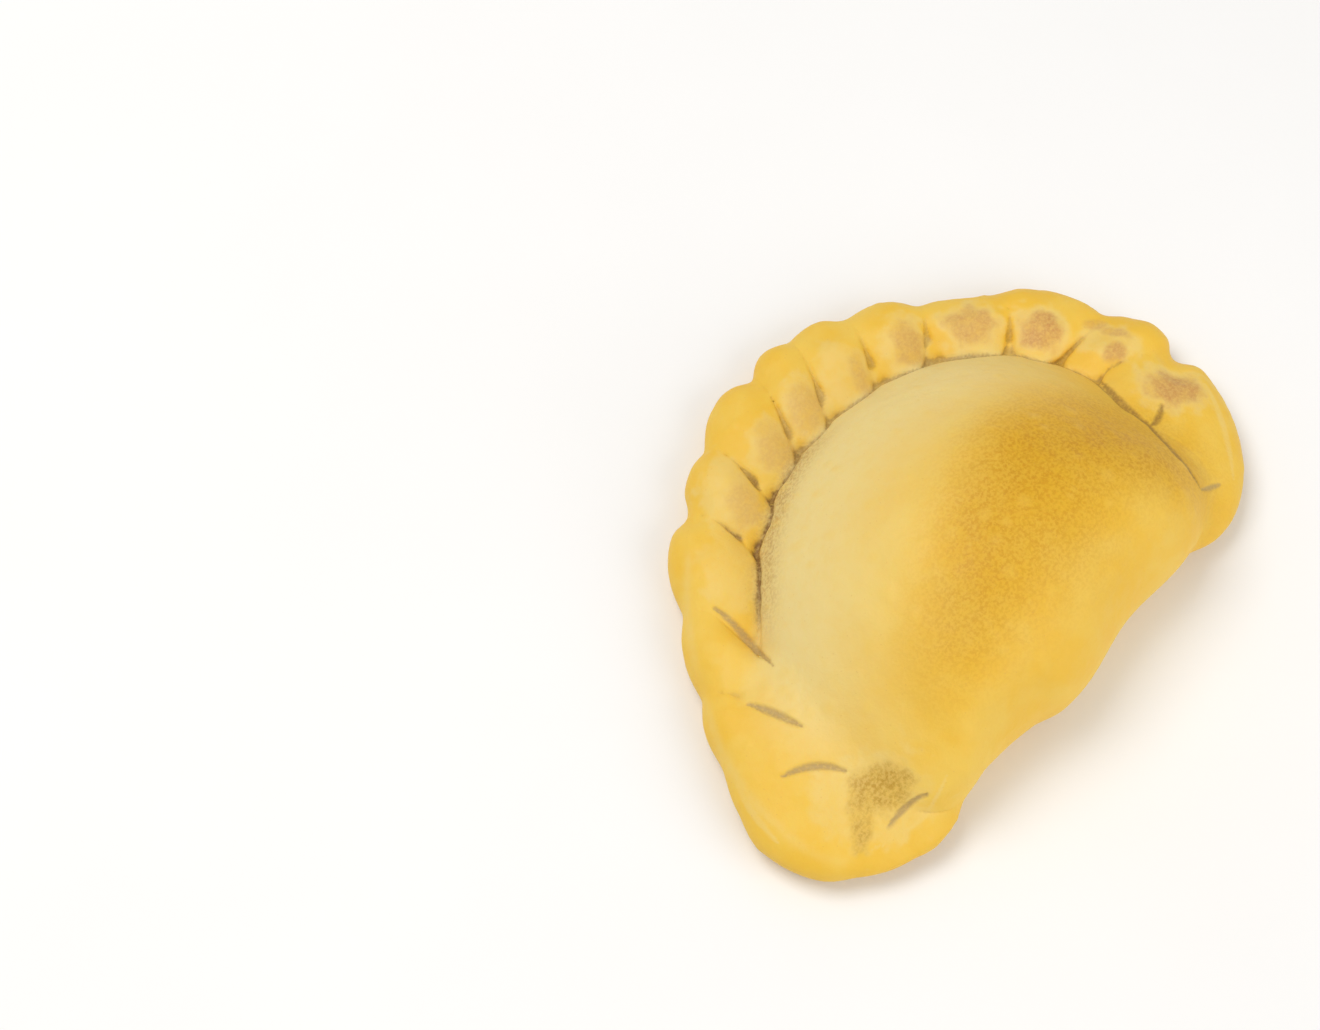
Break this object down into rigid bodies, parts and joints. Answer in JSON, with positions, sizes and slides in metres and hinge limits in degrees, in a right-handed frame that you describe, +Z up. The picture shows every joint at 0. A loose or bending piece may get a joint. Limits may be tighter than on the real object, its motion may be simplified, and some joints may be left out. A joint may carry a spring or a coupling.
{
  "type": "baked empanada",
  "caption": "Half-moon filled pastry with a domed belly and a rope-crimped edge (repulgue), baked golden yellow, lying flat on its underside.",
  "frame": {"origin": "middle of the flat underside: the bottom centre of the bounding box", "axes": "+X along the folded side, which faces -Y; +Y out of the crimped side; +Z up"},
  "size_m": [0.1268, 0.088, 0.0362],
  "materials": {
    "crust": "egg-washed baked dough, satin"
  },
  "bodies": {
    "root": {"empanada": "crust"}
  },
  "joints": []
}
